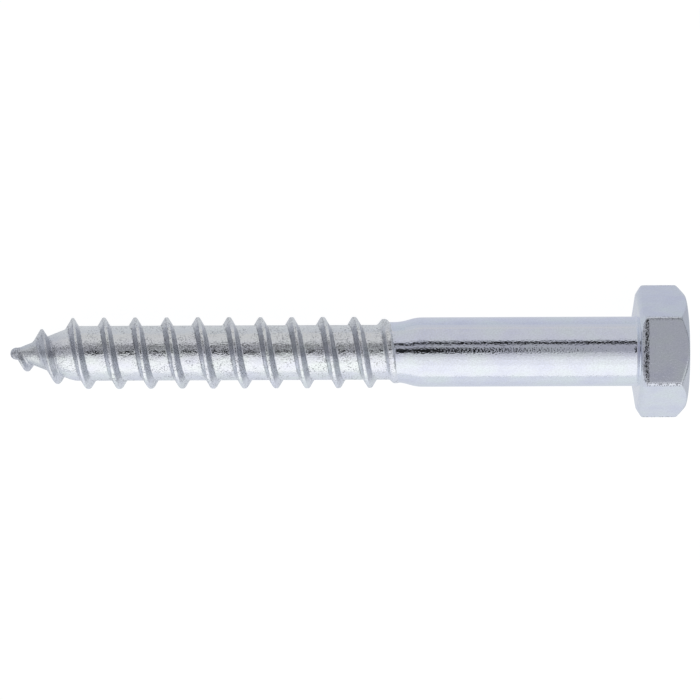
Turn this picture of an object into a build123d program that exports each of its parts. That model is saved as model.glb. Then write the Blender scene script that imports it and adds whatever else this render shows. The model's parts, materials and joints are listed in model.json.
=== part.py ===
from build123d import *
import os
from math import atan, ceil, cos, pi, radians, sin, sqrt, tan

os.makedirs("parts", exist_ok=True)

# Lag screw 10 x 90, zinc plated: hexagon head, plain shank, coarse wood thread and a gimlet point.
# It lies on a table, on one flat of its head and on the thread near its point.
# The origin is the middle of the bearing face under the head, where the screw's axis crosses it.
# Lengths along the axis are counted from that face, up to the head's end and down to the point.

# Sizes of the screw, in millimetres
shank_diameter = 10.0
screw_length = 90.0
head_height = 7.0
across_flats = 16.6
corner_rounding = 0.55
edge_rounding = 0.45
seat_rounding = 0.95
head_fillet = 0.4

# Both ends of the head are chamfered to a circle. The drop is how far the chamfer runs down a corner.
crown_diameter = 16.2
crown_drop = 1.3
seat_diameter = 16.4
seat_drop = 0.85

# The blank for the thread is thinner than the shank
neck_diameter = 8.7
neck_taper_start = 33.8
neck_taper_length = 2.3

# The rolled thread, a right-hand ridge
root_diameter = 7.9
crest_diameter = 10.28
crest_width = 0.28
flank_angle = 30.0
pitch = 4.5
ridge_height_on_point = 1.4

# The point is a cone with a pinched knob, left by the rolling dies
point_half_angle = 21.35
knob_radius = 0.87
knob_waist = 1.15

# The ridge rises out of the knob, and fades where the neck tapers up to the shank. These are turns.
rise_start, rise_end = 0.1, 0.55
fade_before_taper, fade_past_taper = 0.94, 0.31
groove_close_before_taper, groove_close_length = 0.99, 0.3
fade_lead_loss = 0.19

shank_radius = shank_diameter / 2
neck_radius = neck_diameter / 2
root_radius = root_diameter / 2
crest_radius = crest_diameter / 2
flank_slope = tan(radians(flank_angle))
across_corners = across_flats / cos(radians(30))
# How deep the foot of the ridge is buried in the blank, and how many points make a turn
buried = 0.2
points_per_turn = 16

waist_radius = sqrt(knob_radius**2 - (knob_waist - knob_radius) ** 2)
cone_slope = tan(radians(point_half_angle))
cone_end = knob_waist + (root_radius - waist_radius) / cone_slope

# The taper under the shank runs on below the neck's surface, down to the thread's root
taper_run = neck_taper_length / (shank_radius - neck_radius)
taper_foot = neck_taper_start + (neck_radius - root_radius) * taper_run

# Turns are counted from the point
taper_turn = (screw_length - neck_taper_start) / pitch
fade_start, fade_end = taper_turn - fade_before_taper, taper_turn + fade_past_taper
groove_close_start = taper_turn - groove_close_before_taper
groove_close_end = groove_close_start + groove_close_length
shoulder_end = fade_end + 0.03

# The head's flat and the first full crest on that side both touch the table
touching_turn = 2.75
touching_span = screw_length - pitch * touching_turn + seat_rounding
lean = atan((across_flats / 2 - crest_radius) / touching_span)
lying = Plane(origin=(0, 0, 0), x_dir=(0, 1, 0), z_dir=(cos(lean), 0, sin(lean)))
lengthwise = Plane(origin=(0, 0, 0), x_dir=lying.z_dir, z_dir=lying.y_dir)
screw_axis = Axis((0, 0, 0), lying.z_dir)


def blank_radius(from_point):
    """Radius of the thread's root at a distance from the point."""
    on_cone = waist_radius + cone_slope * (from_point - knob_waist)
    return min(on_cone, root_radius)


def part_way(turn, start, end):
    """0 before the start, 1 after the end, and straight in between."""
    return min(max((turn - start) / (end - start), 0.0), 1.0)


def crest_middle(turn):
    """Distance of the crest from the point. The lead gets shorter where the thread fades."""
    return pitch * (turn - fade_lead_loss * max(turn - fade_start, 0.0) ** 2)


def ridge_section(turn):
    """Four corners of the ridge, as distance from the point and radius."""
    middle = crest_middle(turn)
    foot = blank_radius(middle) - buried
    rise = part_way(turn, rise_start, rise_end)
    fade = part_way(turn, fade_start, fade_end)
    crest = min(crest_radius, foot + buried + ridge_height_on_point * rise)
    crest -= (crest_radius - neck_radius + buried / 2) * fade
    half_crest = crest_width / 2 * (1 + fade)
    half_foot = half_crest + (crest - foot) * flank_slope * (1 + fade)
    return [
        (middle - half_foot, foot),
        (middle - half_crest, crest),
        (middle + half_crest, crest),
        (middle + half_foot, foot),
    ]


def shoulder_section(turn):
    """Four corners of the neck's end, which winds along the last ridge and closes its groove."""
    closed = part_way(turn, groove_close_start, groove_close_end)
    foot = root_radius - buried
    outer = root_radius - buried / 4
    outer += (neck_radius - outer) * closed
    left = crest_middle(turn)
    right = screw_length - neck_taper_start + buried
    return [(left, foot), (left, outer), (right, outer), (right, foot)]


def helical_bar(section, first_turn, last_turn):
    """A solid round the axis, whose four-cornered section may change along the way."""
    steps = ceil((last_turn - first_turn) * points_per_turn)
    rails = []
    for corner in range(4):
        points = []
        for step in range(steps + 1):
            turn = first_turn + (last_turn - first_turn) * step / steps
            from_point, radius = section(turn)[corner]
            angle = 2 * pi * turn
            here = (radius * cos(angle), radius * sin(angle), from_point - screw_length)
            points.append(lying.from_local_coords(here))
        rails.append(Edge.make_spline(points))
    sides = [Face.make_surface_from_curves(rails[i], rails[i - 1]) for i in range(4)]
    caps = [Face(Wire.make_polygon([rail @ end for rail in rails], close=True)) for end in (0, 1)]
    return Solid(Shell(sides + caps))


# The ridge is wound one turn at a time, and the shoulder in two lengths, as it passes a full turn
ridge_turns = [rise_start, *range(ceil(rise_start), ceil(fade_end)), fade_end]
ridge = [helical_bar(ridge_section, a, b) for a, b in zip(ridge_turns, ridge_turns[1:])]
shoulder_turns = [groove_close_start, groove_close_start + 0.9, shoulder_end]
shoulder = [helical_bar(shoulder_section, a, b) for a, b in zip(shoulder_turns, shoulder_turns[1:])]

with BuildPart() as lag_screw:
    # Head: a forged hexagon with two flats level, chamfered at both ends, with its edges rounded
    with BuildSketch(lying):
        RegularPolygon(across_flats / 2, 6, major_radius=False)
    extrude(amount=head_height)
    fillet(lag_screw.edges().filter_by(screw_axis), corner_rounding)
    fillet(lag_screw.faces().sort_by(screw_axis)[0].edges(), seat_rounding)
    with BuildSketch(lengthwise):
        with BuildLine():
            Polyline(
                (0, 0),
                (head_height, 0),
                (head_height, crown_diameter / 2),
                (head_height - crown_drop, across_corners / 2),
                (seat_drop, across_corners / 2),
                (0, seat_diameter / 2),
                close=True,
            )
        make_face()
    revolve(axis=screw_axis, mode=Mode.INTERSECT)
    chamfered = lag_screw.faces().filter_by(GeomType.CONE).sort_by(screw_axis)[-1]
    crown = lag_screw.faces().sort_by(screw_axis)[-1]
    fillet(chamfered.edges() - crown.edges(), edge_rounding)

    # Shank, neck and pointed blank, turned about the axis in one piece with the head
    with BuildSketch(lengthwise):
        with BuildLine():
            Polyline(
                (-screw_length, 0),
                (head_height / 2, 0),
                (head_height / 2, shank_radius + head_fillet),
                (0, shank_radius + head_fillet),
            )
            RadiusArc((0, shank_radius + head_fillet), (-head_fillet, shank_radius), head_fillet)
            Polyline(
                (-head_fillet, shank_radius),
                (neck_taper_length - neck_taper_start, shank_radius),
                (-taper_foot, root_radius),
                (cone_end - screw_length, root_radius),
                (knob_waist - screw_length, waist_radius),
            )
            ThreePointArc(
                (knob_waist - screw_length, waist_radius),
                (knob_radius * (1 - cos(pi / 4)) - screw_length, knob_radius * sin(pi / 4)),
                (-screw_length, 0),
            )
        make_face()
    revolve(axis=screw_axis)

    # Thread
    add(shoulder)
    add(ridge)

lag_screw.part.label = "lag_screw"
export_step(lag_screw.part, "parts/lag_screw.step")
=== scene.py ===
import json
import math

import bmesh
import bpy
import numpy as np
from mathutils import Matrix, Vector


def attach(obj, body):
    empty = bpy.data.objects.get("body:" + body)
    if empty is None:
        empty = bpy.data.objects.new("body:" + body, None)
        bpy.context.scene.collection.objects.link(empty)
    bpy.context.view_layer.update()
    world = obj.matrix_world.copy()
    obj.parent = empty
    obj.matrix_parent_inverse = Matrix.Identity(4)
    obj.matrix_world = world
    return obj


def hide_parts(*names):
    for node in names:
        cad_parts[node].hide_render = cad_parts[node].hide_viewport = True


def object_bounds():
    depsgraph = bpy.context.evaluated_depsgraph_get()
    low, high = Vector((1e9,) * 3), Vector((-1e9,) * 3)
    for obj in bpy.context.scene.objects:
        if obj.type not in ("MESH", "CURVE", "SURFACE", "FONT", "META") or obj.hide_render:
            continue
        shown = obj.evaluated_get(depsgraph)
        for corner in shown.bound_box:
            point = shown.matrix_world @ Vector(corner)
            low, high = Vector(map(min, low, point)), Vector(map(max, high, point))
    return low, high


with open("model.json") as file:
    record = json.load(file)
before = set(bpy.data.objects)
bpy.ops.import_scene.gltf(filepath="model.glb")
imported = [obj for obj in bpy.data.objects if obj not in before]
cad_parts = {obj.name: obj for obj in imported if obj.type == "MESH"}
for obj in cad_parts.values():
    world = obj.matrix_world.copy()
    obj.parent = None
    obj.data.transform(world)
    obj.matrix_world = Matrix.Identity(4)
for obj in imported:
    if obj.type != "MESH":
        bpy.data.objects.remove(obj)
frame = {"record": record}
cad_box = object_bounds()

# ---------------------------------------------------------------------------
# THE BLANK. One piece of steel wire, upset at one end into a hexagon head and
# rolled at the other into a thread. It is laid out from the middle of the
# bearing face, along the screw and round its axis, in millimetres and radians.
# ---------------------------------------------------------------------------
mounts = {mount["name"]: mount for mount in frame["record"]["mounts"]}
seat_middle = Vector(mounts["bearing_face"]["pos_m"])
towards_head = -Vector(mounts["bearing_face"]["axis"])
sideways = Vector((0, 1, 0))
upwards = towards_head.cross(sideways)

shank_radius = mounts["shank"]["dims"]["r_mm"]
head_height = mounts["hexagon"]["dims"]["length_mm"]
thread_radius = mounts["thread"]["dims"]["r_mm"]
thread_length = mounts["thread"]["dims"]["length_mm"]
thread_middle = (Vector(mounts["thread"]["pos_m"]) - seat_middle).length * 1000
point_at = -(thread_middle + thread_length / 2)
neck_at = point_at + thread_length

# The skin is made of strips of rows that run round the axis. A row's last point is also its first.
around = 144
turn_share = np.linspace(0, 1, around + 1)
strips = []

# The three finishes, by their places among the skin's materials
forged, drawn, rolled = 0, 1, 2


def add_strip(radius, height, angle, finish, dull_and_shade=0.0, worn_and_painted_dark=0.0):
    """Rows of points at a radius, a height over the bearing face and an angle round the axis.

    Each point has its finish. It goes grey by a share from 0 to 1 where the plating is thin and
    grey, and as painted shade on the thread's flanks and the head's chamfer. It is nicked by such a
    share into dark dashes where the dies or a spanner broke it up, which on the head's edges are
    also painted dark reflection.
    """
    strips.append(np.broadcast_arrays(radius, height, angle, finish, dull_and_shade, worn_and_painted_dark))


# ---------------------------------------------------------------------------
# THE HEAD. A steel hexagon forged on the end of the wire, 16.6 mm across flats,
# its end and bearing face chamfered to circles and its edges rounded. Its skin
# is where rays from inside the head meet the nearest of the faces round it.
# ---------------------------------------------------------------------------
across_flats = 16.6
corner_radius = across_flats / 2 / math.cos(math.pi / 6)
corner_rounding = 0.55
crown_radius, crown_drop = 8.1, 1.3
seat_radius, seat_drop, seat_rounding = 8.2, 0.85, 0.95
edge_sharpness = 110

# The outline's points crowd together towards the corners, where the skin turns
crowding = 0.125
even = turn_share * 2 * math.pi
crowded = even - crowding * np.sin(6 * even)
from_corner = np.abs((crowded + math.pi / 6) % (math.pi / 3) - math.pi / 6)
corner_centre = (across_flats / 2 - corner_rounding) / math.cos(math.pi / 6)
flat_half = (across_flats / 2 - corner_rounding) * math.tan(math.pi / 6)
corner_reach = math.pi / 6 - math.atan2(flat_half, across_flats / 2)
on_flat = across_flats / 2 / np.cos(math.pi / 6 - from_corner)
off_centre = corner_centre * np.sin(from_corner)
past_centre = np.sqrt(np.maximum(corner_rounding**2 - off_centre**2, 0))
on_corner = corner_centre * np.cos(from_corner) + past_centre
hexagon_radius = np.where(from_corner < corner_reach, on_corner, on_flat)

# The rays start at one radius and height, in fans that are dense where they meet an edge
ray_start = np.array([4.4, head_height / 2])
ray_fans = [(-82, -56, 5), (-53, -23, 36), (-19, 17, 7), (20, 48, 32), (52, 88, 6)]
ray_tilts = np.radians(np.concatenate([np.linspace(*fan) for fan in ray_fans]))
rays = np.stack([np.cos(ray_tilts), np.sin(ray_tilts)], axis=1)[:, None, :]
least_facing, never_met = 1e-4, 1e3


def distance_to(face_normal, point_on_face):
    """How far each ray goes before it meets a face, given by its normal and a point on it."""
    normal = np.array(face_normal) / np.linalg.norm(face_normal)
    gap = (np.asarray(point_on_face) - ray_start) @ normal
    facing = rays @ normal
    return np.where(facing > least_facing, gap / np.maximum(facing, least_facing), never_met)


# The bearing face, the end, the chamfer of each, and the flats with their rounded corners
bounding_faces = [
    distance_to((0, -1), (0, 0)),
    distance_to((0, 1), (0, head_height)),
    distance_to((seat_drop, seat_radius - corner_radius), (seat_radius, 0)),
    distance_to((crown_drop, corner_radius - crown_radius), (crown_radius, head_height)),
    distance_to((1, 0), np.stack([hexagon_radius, np.zeros_like(hexagon_radius)], axis=1)),
]
# The rounding between the flats and the bearing face, as narrow facets
rounding_height = np.full_like(hexagon_radius, seat_rounding)
rounding_centre = np.stack([hexagon_radius - seat_rounding, rounding_height], axis=1)
for tilt in np.radians([15, 30, 45, 60, 75]):
    facet = np.array([math.cos(tilt), -math.sin(tilt)])
    bounding_faces.append(distance_to(facet, rounding_centre + seat_rounding * facet))
reach = sum(distance**-edge_sharpness for distance in bounding_faces) ** (-1 / edge_sharpness)
head_radii = ray_start[0] + reach * rays[..., 0]
head_heights = ray_start[1] + reach * rays[..., 1]

crown_shrink = np.linspace(1, 0, 6)[:, None]
crown_angles = even + (crowded - even) * crown_shrink
add_strip(head_radii[-1] * crown_shrink, head_heights[-1], crown_angles, forged)


def share_between(value, start, end):
    """0 before the start, 1 after the end, and straight in between."""
    return np.clip((value - start) / (end - start), 0, 1)


# A spanner has worn the corners, the front ones most. Their dark dashes are partly wear
# and partly painted dark reflection on the rounded edges
corner_wear_and_dark_behind, corner_wear_and_dark_in_front = 0.3, 0.65
above_seat = share_between(head_heights, 0.7, 0.9)
below_crown = share_between(head_heights, head_height - 0.9, head_height - 1.2)
in_front = share_between(np.cos(crowded), 0.2, -0.2)
corner_wear_and_dark_there = corner_wear_and_dark_behind + (corner_wear_and_dark_in_front - corner_wear_and_dark_behind) * in_front
corner_wear_and_painted_dark = corner_wear_and_dark_there * (from_corner < corner_reach) * above_seat * below_crown

# The upper flat is worn beside the bearing face, most at its middle. Its dark dashes are
# partly wear and partly painted dark reflection along the seat's rounding
seat_wear_and_dark_at_ends, seat_wear_and_dark_at_middle = 0.5, 0.9
upper_flat = np.cos(crowded - math.pi / 2) > math.cos(math.radians(29))
beside_seat = share_between(head_heights, 0.3, 0.45) * share_between(head_heights, 1.15, 0.95)
at_middle = share_between(np.abs(head_radii * np.cos(crowded)), 3.5, 1.5)
seat_wear_and_painted_dark = beside_seat * upper_flat * (seat_wear_and_dark_at_ends + (seat_wear_and_dark_at_middle - seat_wear_and_dark_at_ends) * at_middle)

# Painted shade: the chamfer at the head's end takes the grey of thin zinc
chamfer_shade_strength = 0.65
chamfer_drop = (head_radii - crown_radius) * crown_drop / (corner_radius - crown_radius)
off_chamfer = head_height - chamfer_drop - head_heights
chamfer_shade = chamfer_shade_strength * share_between(off_chamfer, 0.06, 0.01)
head_wear_and_painted_dark = np.maximum(corner_wear_and_painted_dark, seat_wear_and_painted_dark)
add_strip(head_radii, head_heights, crowded, forged, chamfer_shade, head_wear_and_painted_dark)

# ---------------------------------------------------------------------------
# THE SHANK. The plain wire, drawn through a die and left at 10 mm, with a small
# fillet where it meets the head. At its far end it tapers to the thinner neck
# that the thread is rolled on.
# ---------------------------------------------------------------------------
head_fillet = 0.4
neck_radius = 4.35
neck_taper_length = 2.3
taper_rounding = 0.25
shank_end = neck_at + neck_taper_length

# The bearing face runs in from the head's edge to the fillet
fillet_turn = np.linspace(0, math.pi / 2, 7)
fillet_radii = shank_radius + head_fillet * (1 - np.sin(fillet_turn))
fillet_heights = -head_fillet * (1 - np.cos(fillet_turn))
under_head = np.linspace(0, 1, 7)[:, None]
seat_angles = crowded + (even - crowded) * under_head
seat_radii = head_radii[0] + (fillet_radii[0] - head_radii[0]) * under_head
add_strip(seat_radii, head_heights[0] * (1 - under_head), seat_angles, forged)
add_strip(fillet_radii[:, None], fillet_heights[:, None], even, drawn)


def soft_least(a, b, softness):
    """The smaller of two sizes, with the corner between them rounded."""
    overlap = np.maximum(softness - np.abs(a - b), 0) / softness
    return np.minimum(a, b) - overlap**2 * softness / 4


def soft_most(a, b, softness):
    """The larger of two sizes, with the corner between them rounded."""
    return -soft_least(-a, -b, softness)


def neck_profile(height):
    """Radius of the blank where the shank tapers down to the neck."""
    on_taper = neck_radius + (shank_radius - neck_radius) * (height - neck_at) / neck_taper_length
    past_neck = soft_most(on_taper, neck_radius, taper_rounding)
    return soft_least(past_neck, shank_radius, taper_rounding)


# One row lies close beside the fillet, to end its curve there, and the rows are dense on the taper
thread_end = neck_at + 0.6
shank_heights = np.concatenate(
    [
        [-head_fillet],
        np.linspace(-head_fillet - 0.3, shank_end + 0.6, 14),
        np.linspace(shank_end + 0.5, thread_end, 24),
    ]
)
add_strip(neck_profile(shank_heights)[:, None], shank_heights[:, None], even, drawn)

# ---------------------------------------------------------------------------
# THE THREAD AND POINT. Rolled between dies: one right-hand ridge that starts on
# the pinched knob at the tip, climbs the gimlet cone, runs along a root thinner
# than the shank and fades at the neck. The skin's rows wind with the ridge.
# ---------------------------------------------------------------------------
pitch = 4.5
root_radius, root_rounding = 3.95, 0.1
crest_width, crest_rounding = 0.4, 0.16
flank_slope = math.tan(math.radians(30))
ridge_height_on_point = 1.4
knob_radius, knob_waist = 0.87, 1.15
cone_slope, cone_rounding = math.tan(math.radians(21.35)), 0.3
waist_radius = math.sqrt(knob_radius**2 - (knob_waist - knob_radius) ** 2)

# Turns are counted from the point. The ridge rises, then fades as the groove closes on the neck.
rise_start, rise_end = 0.1, 0.55
taper_turn = thread_length / pitch
fade_start, fade_end = taper_turn - 0.94, taper_turn + 0.31
close_start, close_end = taper_turn - 0.99, taper_turn - 0.69
fade_lead_loss = 0.19

# Distances of the rows from the middle of the crest, over one pitch
on_ridge = [0.035, 0.08, 0.14, 0.19, 0.24, 0.3, 0.45, 0.62, 0.74, 0.8, 0.86, 0.92]
in_groove = [1.1, 1.4, 1.7, 2.0]
one_side = on_ridge + in_groove
line_places = np.array([-place for place in reversed(one_side)] + [0] + one_side)


def crest_place(turn):
    """Distance of the crest from the point. Its lead gets shorter as it fades."""
    fading = np.clip(turn, fade_start, fade_end) - fade_start
    past = np.maximum(turn - fade_end, 0) * 2 * (fade_end - fade_start)
    return pitch * (turn - fade_lead_loss * (fading**2 + past))


def lead_share(turn):
    """What is left of the full lead, and so of the room between the rows."""
    return 1 - 2 * fade_lead_loss * (np.clip(turn, fade_start, fade_end) - fade_start)


def blank_profile(from_point):
    """Radius of the point's knob and cone, and of the thread's root."""
    on_knob = np.sqrt(np.maximum(knob_radius**2 - (from_point - knob_radius) ** 2, 0))
    on_cone = waist_radius + cone_slope * (from_point - knob_waist)
    tip = np.where(from_point < knob_waist, on_knob, on_cone)
    return soft_least(tip, root_radius, cone_rounding)


def wander(turn, size, seed):
    """Slow unevenness along the ridge, as the dies leave it."""
    ways = [(2.3, 0.35), (5.1, 0.25), (9.7, 0.2), (23.9, 0.2)]
    swings = [share * np.sin(2 * math.pi * rate * turn + seed * rate) for rate, share in ways]
    return size * sum(swings)


ridge_count = math.ceil(fade_end) + 1
knob_cap = 0.1
row_turns = (np.arange(-1, ridge_count)[:, None] + turn_share).repeat(len(line_places), axis=0)
row_places = np.tile(line_places, ridge_count + 1)[:, None]
from_point = crest_place(row_turns) + row_places * lead_share(row_turns)
from_point = np.clip(from_point, knob_cap, thread_end - point_at)
root = blank_profile(from_point)
filled, ridge, flank_shade, folds = [np.zeros_like(from_point) for _ in range(4)]

# Painted shade on the flanks: they take the grey of thin zinc, most behind the screw,
# less in front of it, and least where a flank faces straight out to a side
flank_shade_behind = share_between(np.cos(even), -0.3, 0.1)
flank_shade_at_sides = 1 - 0.65 * share_between(np.abs(np.cos(even)), 0.76, 0.9)

# The seam is where the dies closed the crest, and it is open at the point
seam_depth_on_thread, seam_depth_at_point, seam_width = 0.018, 0.138, 0.045

for whole_turns in range(-1, ridge_count):
    turn = turn_share + whole_turns
    there = (turn >= rise_start) & (turn <= fade_end)
    rise = share_between(turn, rise_start, rise_end)
    fade = share_between(turn, fade_start, fade_end)
    middle = crest_place(turn)
    foot = blank_profile(middle)
    crest = np.minimum(thread_radius, foot + ridge_height_on_point * rise)
    crest = crest - (thread_radius - neck_radius + 0.1) * fade + wander(turn, 0.05, 1) * rise
    past_middle = from_point - middle - wander(turn, 0.03, 2)
    from_middle = np.abs(past_middle)

    seam_opening = (seam_depth_at_point - seam_depth_on_thread) * share_between(turn, 0.9, 0.4)
    seam_depth = seam_depth_on_thread + seam_opening + wander(turn, 0.02, 5)
    seam = seam_depth * np.exp(-((from_middle / seam_width) ** 2)) * rise * (1 - fade)

    # The crest is narrow near the point, and gets its full width by the fourth turn
    width_share = 0.6 + 0.4 * share_between(turn, 1.9, 3.3)
    off_crest = from_middle - crest_width / 2 * width_share * (1 + fade)
    on_flank = crest - off_crest / (flank_slope * (1 + fade))
    shaped = soft_least(on_flank, crest, crest_rounding) - np.maximum(seam, 0)
    highest = there & (shaped > ridge)
    ridge = np.where(highest, shaped, ridge)

    flank_shade_in_front = np.where(past_middle > 0, 0.75, 0.4)
    flank_shade_round = (flank_shade_in_front + (1 - flank_shade_in_front) * flank_shade_behind) * flank_shade_at_sides
    flank_shade = np.where(highest, share_between(off_crest, 0.0, 0.08) * flank_shade_round * (1 - fade), flank_shade)

    # Place, width and strength of the folds that the dies left. The first is wide on two turns.
    wide_fold = share_between(turn, 3.4, 3.9) * share_between(turn, 5.6, 5.1)
    fold_lines = [(-0.83, 0.05 + 0.05 * wide_fold, 0.8), (-0.24, 0.045, 0.7), (0.83, 0.05, 0.4)]
    fold = 0
    for place, width, strength in fold_lines:
        fold = fold + strength * np.exp(-(((past_middle - place) / width) ** 2))
    folds = np.maximum(folds, fold * rise * (1 - fade) * there)

    past_crest = share_between(from_point - middle, -0.12, 0.12)
    closed = past_crest * share_between(turn, close_start, close_end)
    filled = np.where(turn <= fade_end, np.maximum(filled, closed), filled)

blank = root + (neck_profile(from_point + point_at) - root) * filled
thread_radii = np.where(from_point > knob_cap, soft_most(blank, ridge, root_rounding), blank)
thread_finish = np.where((filled > 0.5) & (ridge < blank), drawn, rolled)

# The point is duller than the thread and its knob duller still. The knob has dark dashes on its
# upper side.
point_dulled = 0.5 * share_between(from_point, 9, 5) + 0.1 * share_between(from_point, 1.6, 1.2)
# The thread's grey share: painted shade on the flanks, and the point's own dull plating
thread_dull_and_shade = np.maximum(flank_shade * share_between(ridge - blank, 0.0, 0.08), point_dulled)
knob_dashes = 0.5 * share_between(from_point, 1.9, 1.2) * share_between(np.sin(even), -0.4, 0.6)
thread_dashes = np.maximum(folds, knob_dashes)
add_strip(thread_radii, from_point + point_at, even, thread_finish, thread_dull_and_shade, thread_dashes)

knob_rings = knob_cap * np.linspace(1, 0, 5)[:, None] ** 2
ring_radii = np.sqrt(knob_radius**2 - (knob_radius - knob_rings) ** 2)
add_strip(ring_radii, knob_rings + point_at, even, rolled, dull_and_shade=0.6, worn_and_painted_dark=0.2)

# ---------------------------------------------------------------------------
# THE SKIN. The strips are stitched into one closed skin, which stands for the
# whole screw. Each of its points keeps how dull and how worn it is, shares which
# also carry painted shade and painted dark reflection.
# ---------------------------------------------------------------------------
millimetre = 0.001
weld_distance = 5e-8
points, faces, face_finish, dull_and_shade_shares, wear_and_painted_dark = [], [], [], [], []
for radius, height, angle, finish, dull_and_shade, worn_and_painted_dark in strips:
    first = sum(len(p) for p in points)
    place = (
        np.array(seat_middle)
        + np.multiply.outer(height, np.array(towards_head)) * millimetre
        + np.multiply.outer(radius * np.cos(angle), np.array(sideways)) * millimetre
        + np.multiply.outer(radius * np.sin(angle), np.array(upwards)) * millimetre
    )
    points.append(place.reshape(-1, 3))
    dull_and_shade_shares.append(dull_and_shade.ravel())
    wear_and_painted_dark.append(worn_and_painted_dark.ravel())
    row, column = np.meshgrid(np.arange(len(radius) - 1), np.arange(around), indexing="ij")
    corner = first + row * (around + 1) + column
    quads = np.stack([corner, corner + 1, corner + around + 2, corner + around + 1], axis=-1)
    faces.append(quads.reshape(-1, 4))
    face_finish.append(finish[:-1, :-1].ravel())

skin = bpy.data.meshes.new("lag_screw_skin")
skin.from_pydata(np.concatenate(points).tolist(), [], np.concatenate(faces).tolist())
skin.polygons.foreach_set("material_index", np.concatenate(face_finish))
for name, shares in [("dull_and_shade", dull_and_shade_shares), ("worn_and_painted_dark", wear_and_painted_dark)]:
    attribute = skin.attributes.new(name, "FLOAT", "POINT")
    attribute.data.foreach_set("value", np.concatenate(shares))
skin_mesh = bmesh.new()
skin_mesh.from_mesh(skin)
bmesh.ops.remove_doubles(skin_mesh, verts=skin_mesh.verts, dist=weld_distance)
bmesh.ops.dissolve_degenerate(skin_mesh, edges=skin_mesh.edges, dist=weld_distance)
bmesh.ops.recalc_face_normals(skin_mesh, faces=skin_mesh.faces)
for face in skin_mesh.faces:
    face.smooth = True
skin_mesh.to_mesh(skin)
skin_mesh.free()

screw = bpy.data.objects.new("zinc_plated_screw", skin)
bpy.context.scene.collection.objects.link(screw)
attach(screw, "root")
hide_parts("lag_screw")

# ---------------------------------------------------------------------------
# THE PLATING. Bright zinc with a blue-white passivation, a few microns thick,
# so the steel shows under it: smooth on the forged head, lined on the drawn
# shank, dimpled on the rolled thread. It is grey where thin, nicked where worn.
# Its grey also paints shade on the thread's flanks and the head's chamfer, its
# nicks paint dark reflection on the head's edges, and its rubbed edges are
# partly a painted highlight.
# The first two tint the zinc's own colour, and the others take its place by a share
bluish, greenish = (0.95, 0.945, 0.99), (1.0, 1.03, 0.97)
# The thin grey zinc also stands for painted shade on the thread's flanks and the head's chamfer
warm_zinc, dull_zinc, thin_zinc_and_shade = (0.91, 0.92, 0.87), (0.65, 0.67, 0.72), (0.565, 0.58, 0.625)
# The rubbed zinc on sharp edges is partly a painted highlight
rubbed_zinc_and_highlight = (0.90, 0.91, 0.93)
# The dark scale also stands for painted dark reflection in the nicks on the head's edges
bare_speck, scale_and_painted_dark = (0.26, 0.27, 0.29), (0.09, 0.09, 0.11)
# How deep the nicks, the dimples of the specks and the dents go, in mm
nick_depth, dimple_depth, dent_depth = 0.04, 0.02, 0.05


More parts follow.
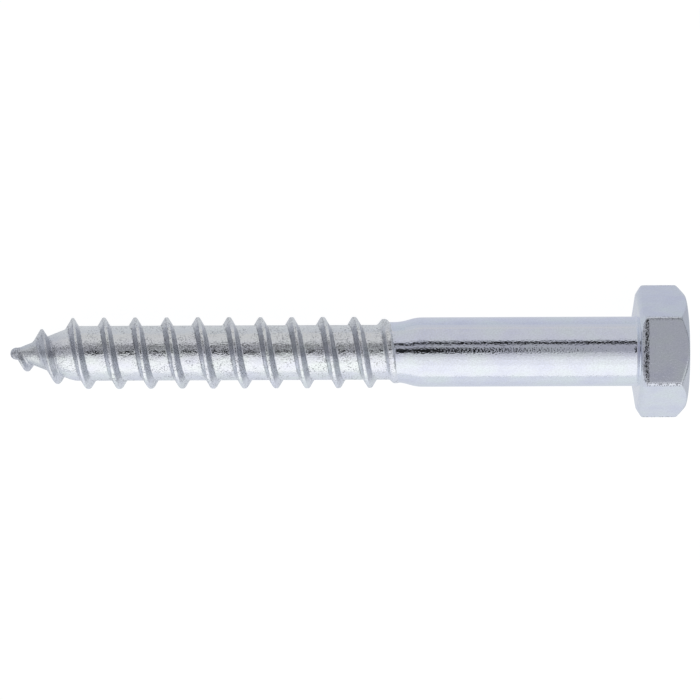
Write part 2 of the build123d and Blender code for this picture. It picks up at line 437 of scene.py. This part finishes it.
def plated(name, zinc, roughness, grain_size, grain_height, mottling, warmth=0.0, specks=0.0):
    """Zinc over steel whose grain has a width and a length along the screw, and a height, in mm.

    Mottling is how far it goes dull in patches, warmth how far it goes warm at the back, and specks
    how much of it has bare pits.
    """
    material = bpy.data.materials.new(name)
    material.use_nodes = True
    nodes, links = material.node_tree.nodes, material.node_tree.links
    surface = nodes["Principled BSDF"]
    surface.inputs["Metallic"].default_value = 1.0

    where = nodes.new("ShaderNodeTexCoord")
    along_screw = nodes.new("ShaderNodeMapping")
    lean = math.atan2(towards_head.z, towards_head.x)
    along_screw.inputs["Rotation"].default_value = (0, lean, 0)
    links.new(where.outputs["Object"], along_screw.inputs["Vector"])

    def grain(width, length, detail, offset):
        """Noise whose grains are so wide and so long, in mm."""
        scaled = nodes.new("ShaderNodeMapping")
        scaled.inputs["Scale"].default_value = (1000 / length, 1000 / width, 1000 / width)
        scaled.inputs["Location"].default_value = (offset, offset, offset)
        links.new(along_screw.outputs["Vector"], scaled.inputs["Vector"])
        texture = nodes.new("ShaderNodeTexNoise")
        texture.inputs["Scale"].default_value = 1.0
        texture.inputs["Detail"].default_value = detail
        links.new(scaled.outputs["Vector"], texture.inputs["Vector"])
        return texture.outputs["Fac"]

    def spread(value, low, high, to_low, to_high):
        """A value between low and high, stretched to lie between two others."""
        ranged = nodes.new("ShaderNodeMapRange")
        ranged.inputs["From Min"].default_value = low
        ranged.inputs["From Max"].default_value = high
        ranged.inputs["To Min"].default_value = to_low
        ranged.inputs["To Max"].default_value = to_high
        links.new(value, ranged.inputs["Value"])
        return ranged.outputs["Result"]

    def combine(operation, a, b):
        """One sum or product of two values."""
        node = nodes.new("ShaderNodeMath")
        node.operation = operation
        links.new(a, node.inputs[0])
        links.new(b, node.inputs[1])
        return node.outputs[0]

    def blend(share, colour, other):
        """A colour that gives way to another by a share from 0 to 1."""
        node = nodes.new("ShaderNodeMix")
        node.data_type = "RGBA"
        links.new(share, node.inputs[0])
        links.new(colour, node.inputs[6])
        node.inputs[7].default_value = (*other, 1)
        return node.outputs[2]

    def shares_of(attribute_name):
        """How grey and how nicked the skin's points are, painted shade and painted dark reflection
        included.
        """
        node = nodes.new("ShaderNodeAttribute")
        node.attribute_name = attribute_name
        return node.outputs["Fac"]

    def bumps(height, depth, under=None, sunk=False):
        """The surface with a height map on it, so many mm deep, over the bumps under it."""
        node = nodes.new("ShaderNodeBump")
        node.invert = sunk
        node.inputs["Strength"].default_value = 1.0
        node.inputs["Distance"].default_value = depth * millimetre
        links.new(height, node.inputs["Height"])
        if under:
            links.new(under, node.inputs["Normal"])
        return node.outputs["Normal"]

    # The passivation shifts between bluish and greenish in wide clouds
    tint = nodes.new("ShaderNodeValToRGB")
    clouds = tint.color_ramp.elements
    clouds[0].position = 0.36
    clouds[0].color = (*[a * b for a, b in zip(zinc, bluish)], 1)
    clouds[1].position = 0.66
    clouds[1].color = (*[a * b for a, b in zip(zinc, greenish)], 1)
    clouds.new(0.5).color = (*zinc, 1)
    links.new(grain(2.5, 4.0, 3, 7.3), tint.inputs["Fac"])
    side = nodes.new("ShaderNodeSeparateXYZ")
    links.new(where.outputs["Object"], side.inputs[0])
    at_back = spread(side.outputs["Y"], 0.0, 0.0025, 0.0, warmth)
    colour = blend(at_back, tint.outputs["Color"], warm_zinc)
    mottled = spread(grain(0.2, 0.24, 1, 3.3), 0.32, 0.68, 0.0, mottling)
    colour = blend(mottled, colour, dull_zinc)

    grain_width, grain_length = grain_size
    rough = spread(grain(grain_width * 4, grain_length * 4, 2, 2.1), 0.3, 0.7, *roughness)

    # Handling has rubbed the sharp edges bright, and this brightening is partly a painted highlight
    edges = nodes.new("ShaderNodeNewGeometry")
    rubbed_and_highlit = spread(edges.outputs["Pointiness"], 0.53, 0.60, 0.0, 0.6)
    colour = blend(rubbed_and_highlit, colour, rubbed_zinc_and_highlight)

    # Thin plating, and painted shade on the flanks and the chamfer, turn the zinc grey and rougher
    dull_and_shade = shares_of("dull_and_shade")
    colour = blend(spread(dull_and_shade, 0.1, 0.9, 0.0, 1.0), colour, thin_zinc_and_shade)
    rough = combine("ADD", rough, spread(dull_and_shade, 0.1, 0.9, 0.0, 0.18))

    # Dark dashes of wear, which on the head's edges are also painted dark reflection
    dashes = spread(grain(0.36, 0.16, 1, 6.6), 0.51, 0.59, 0.0, 1.0)
    dashes = combine("MULTIPLY", dashes, shares_of("worn_and_painted_dark"))
    colour = blend(dashes, colour, scale_and_painted_dark)
    rough = combine("ADD", rough, spread(dashes, 0.0, 1.0, 0.0, 0.25))

    normal = bumps(grain(grain_width, grain_length, 1, 0.0), grain_height)
    normal = bumps(dashes, nick_depth, normal, sunk=True)
    if specks:
        patches = spread(grain(1.6, 1.6, 2, 9.1), 0.38, 0.62, 0.1, 1.0)
        pits = spread(grain(0.18, 0.19, 1, 5.5), 0.66 - specks, 0.74 - specks, 0.0, 1.0)
        pits = combine("MULTIPLY", patches, pits)
        colour = blend(spread(pits, 0.0, 1.0, 0.0, 0.7), colour, bare_speck)
        rough = combine("ADD", rough, spread(pits, 0.0, 1.0, 0.0, 0.2))
        normal = bumps(pits, dimple_depth, normal, sunk=True)
        normal = bumps(grain(0.9, 1.1, 1, 4.4), dent_depth, normal)
    links.new(colour, surface.inputs["Base Color"])
    links.new(rough, surface.inputs["Roughness"])
    links.new(normal, surface.inputs["Normal"])
    return material


skin.materials.append(
    plated(
        "zinc_on_forged_head",
        zinc=(0.81, 0.845, 0.92),
        roughness=(0.08, 0.13),
        grain_size=(0.25, 0.25),
        grain_height=0.010,
        mottling=0.3,
    )
)
skin.materials.append(
    plated(
        "zinc_on_drawn_shank",
        zinc=(0.84, 0.875, 0.965),
        roughness=(0.03, 0.06),
        grain_size=(0.20, 0.30),
        grain_height=0.0158,
        mottling=0.35,
    )
)
skin.materials.append(
    plated(
        "zinc_on_rolled_thread",
        zinc=(0.925, 0.95, 1.0),
        roughness=(0.07, 0.12),
        grain_size=(0.20, 0.22),
        grain_height=0.034,
        mottling=0.3,
        warmth=0.8,
        specks=0.10,
    )
)

# ---------------------------------------------------------------------------
# THE TABLE. A smooth painted top that the screw lies on. It is seen as plain
# white, and the metal mirrors it as a glowing pale board, a painted reflection,
# a little darker behind the screw as painted shade.
# ---------------------------------------------------------------------------
table_half = 2.0
table_paint = (0.88, 0.93, 0.99)
# What the metal mirrors is painted: a glow for glossy rays, with painted shade behind the screw
painted_reflection_in_front, painted_shade_behind = (0.83, 0.85, 0.875), (0.60, 0.618, 0.68)
change_over = 0.03
seen_brightness = 1.09
painted_reflection_share, seen_share = 0.85, 0.88

table_mesh = bpy.data.meshes.new("table_top")
corners = [(-1, -1), (1, -1), (1, 1), (-1, 1)]
table_points = [(x * table_half, y * table_half, cad_box[0].z) for x, y in corners]
table_mesh.from_pydata(table_points, [], [(0, 1, 2, 3)])
table = bpy.data.objects.new("table_top", table_mesh)
bpy.context.scene.collection.objects.link(table)

paint = bpy.data.materials.new("table_paint")
paint.use_nodes = True
nodes, links = paint.node_tree.nodes, paint.node_tree.links
nodes["Principled BSDF"].inputs["Base Color"].default_value = (*table_paint, 1)
nodes["Principled BSDF"].inputs["Roughness"].default_value = 0.9
glow = nodes.new("ShaderNodeEmission")
glow.inputs["Color"].default_value = (1, 1, 1, 1)
glow.inputs["Strength"].default_value = seen_brightness

where = nodes.new("ShaderNodeTexCoord")
side = nodes.new("ShaderNodeSeparateXYZ")
behind = nodes.new("ShaderNodeMapRange")
behind.inputs["From Min"].default_value = -change_over
behind.inputs["From Max"].default_value = change_over
painted_shade_by_side = nodes.new("ShaderNodeMix")
painted_shade_by_side.data_type = "RGBA"
painted_shade_by_side.inputs[6].default_value = (*painted_reflection_in_front, 1)
painted_shade_by_side.inputs[7].default_value = (*painted_shade_behind, 1)
# The painted reflection: the table glows for glossy rays, darker behind the screw as painted shade
painted_reflection = nodes.new("ShaderNodeEmission")
links.new(where.outputs["Object"], side.inputs[0])
links.new(side.outputs["Y"], behind.inputs["Value"])
links.new(behind.outputs["Result"], painted_shade_by_side.inputs[0])
links.new(painted_shade_by_side.outputs[2], painted_reflection.inputs["Color"])

path = nodes.new("ShaderNodeLightPath")
shader = nodes["Principled BSDF"].outputs[0]
shown = [("Is Glossy Ray", painted_reflection, painted_reflection_share), ("Is Camera Ray", glow, seen_share)]
for kind, light, share in shown:
    kept = nodes.new("ShaderNodeMath")
    kept.operation = "MULTIPLY"
    kept.inputs[1].default_value = share
    mix = nodes.new("ShaderNodeMixShader")
    links.new(path.outputs[kind], kept.inputs[0])
    links.new(kept.outputs[0], mix.inputs[0])
    links.new(shader, mix.inputs[1])
    links.new(light.outputs[0], mix.inputs[2])
    shader = mix.outputs[0]
links.new(shader, nodes["Material Output"].inputs["Surface"])
table_mesh.materials.append(paint)

# ---------------------------------------------------------------------------
# THE STUDIO. A grey room, a large soft light in front of the screw that fades
# towards the top, and a dimmer one behind it. Dark bars by the lights and the
# camera's own stand are mirrored in the metal as thin lines.
# ---------------------------------------------------------------------------
room_colour, room_brightness = (0.94, 0.94, 1.0), 0.43
screw_middle = (cad_box[0] + cad_box[1]) / 2
light_distance, light_length = 0.7, 1.8

world = bpy.data.worlds.new("studio_room")
bpy.context.scene.world = world
world.use_nodes = True
nodes, links = world.node_tree.nodes, world.node_tree.links
nodes["Background"].inputs["Color"].default_value = (*room_colour, 1)
nodes["Background"].inputs["Strength"].default_value = room_brightness
backdrop = nodes.new("ShaderNodeBackground")
backdrop.inputs["Color"].default_value = (1, 1, 1, 1)
backdrop.inputs["Strength"].default_value = 1.0
path = nodes.new("ShaderNodeLightPath")
choose = nodes.new("ShaderNodeMixShader")
links.new(path.outputs["Is Camera Ray"], choose.inputs[0])
links.new(nodes["Background"].outputs[0], choose.inputs[1])
links.new(backdrop.outputs[0], choose.inputs[2])
links.new(choose.outputs[0], nodes["World Output"].inputs["Surface"])


def hang(name, data, tilt, towards, distance):
    """Hangs something over the screw and facing it, tilted from straight up towards a side."""
    outwards = upwards * math.cos(math.radians(tilt)) + towards * math.sin(math.radians(tilt))
    across = outwards.cross(towards_head) if towards == sideways else sideways
    turned = Matrix((across.cross(outwards), across, outwards)).transposed()
    thing = bpy.data.objects.new(name, data)
    thing.location = screw_middle + outwards * distance
    thing.rotation_euler = turned.to_euler()
    bpy.context.scene.collection.objects.link(thing)
    return thing


def soft_box(name, start, end, brightness, colour=(1, 1, 1)):
    """A lamp as bright all over, between two tilts from straight up, where behind is positive."""
    lamp = bpy.data.lights.new(name, "AREA")
    lamp.shape = "RECTANGLE"
    lamp.size = light_length
    lamp.size_y = 2 * light_distance * math.tan(math.radians(end - start) / 2)
    lamp.energy = brightness * math.pi * lamp.size * lamp.size_y
    lamp.color = colour
    hang(name, lamp, (start + end) / 2, sideways, light_distance)


# The front light is brightest low down, where its layers overlap
front_low_edge, front_colour = -89.5, (1, 1, 0.95)
front_layers = [(-4, 0.22), (-16, 0.17), (-27, 0.13), (-45, 0.10)]
for layer, (top_edge, brightness) in enumerate(front_layers, start=1):
    soft_box(f"front_light_layer_{layer}", front_low_edge, top_edge, brightness, front_colour)
soft_box("light_behind", 38, 90, 0.22)


def dark_bar(name, tilt, towards, width, start, end, distance, cloth_shade=0.01):
    """A dark cloth bar, as wide as so many degrees and running from start to end in metres."""
    half = distance * math.tan(math.radians(width) / 2)
    outline = [(start, -half, 0), (end, -half, 0), (end, half, 0), (start, half, 0)]
    if towards != sideways:
        outline = [(y, x, z) for x, y, z in outline]
    mesh = bpy.data.meshes.new(name)
    mesh.from_pydata(outline, [], [(0, 1, 2, 3)])
    cloth = bpy.data.materials.new(name + "_cloth")
    cloth.use_nodes = True
    weave = cloth.node_tree.nodes["Principled BSDF"].inputs
    weave["Base Color"].default_value = (cloth_shade, cloth_shade, cloth_shade, 1)
    weave["Roughness"].default_value = 0.95
    mesh.materials.append(cloth)
    bar = hang(name, mesh, tilt, towards, distance)
    bar.visible_camera = False
    bar.visible_shadow = False


# The bars hang just inside the lights, and the stand hangs below them
inside_lights = light_distance - 0.02
dark_bar("bar_by_the_light_behind", 29.2, sideways, 8.4, -0.9, 0.9, inside_lights)
dark_bar("dark_end_of_the_room", 70, towards_head, 40, -0.45, 0.45, inside_lights, 0.7)
dark_bar("camera_stand", 4.3, sideways, 17.2, -0.3, 0.046, 0.47)

# ---------------------------------------------------------------------------
# THE CAMERA. It hangs over the screw and looks square at it, with the head to
# the right. Its place is in millimetres from the middle of the bearing face.
# ---------------------------------------------------------------------------
view_middle, view_side, view_distance = -41.1, 0.34, 432.0
view_roll = 0.22

lens = bpy.data.cameras.new("camera")
lens.sensor_width = 36
lens.lens = 154.3
camera = bpy.data.objects.new("camera", lens)
bpy.context.scene.collection.objects.link(camera)
view_from = towards_head * view_middle + sideways * view_side + upwards * view_distance
camera.location = seat_middle + view_from * millimetre
square_on = Matrix((towards_head, sideways, upwards)).transposed()
slight_roll = Matrix.Rotation(math.radians(-view_roll), 3, "Z")
camera.rotation_euler = (square_on @ slight_roll).to_euler()
bpy.context.scene.camera = camera

bpy.context.scene.view_settings.view_transform = "Standard"
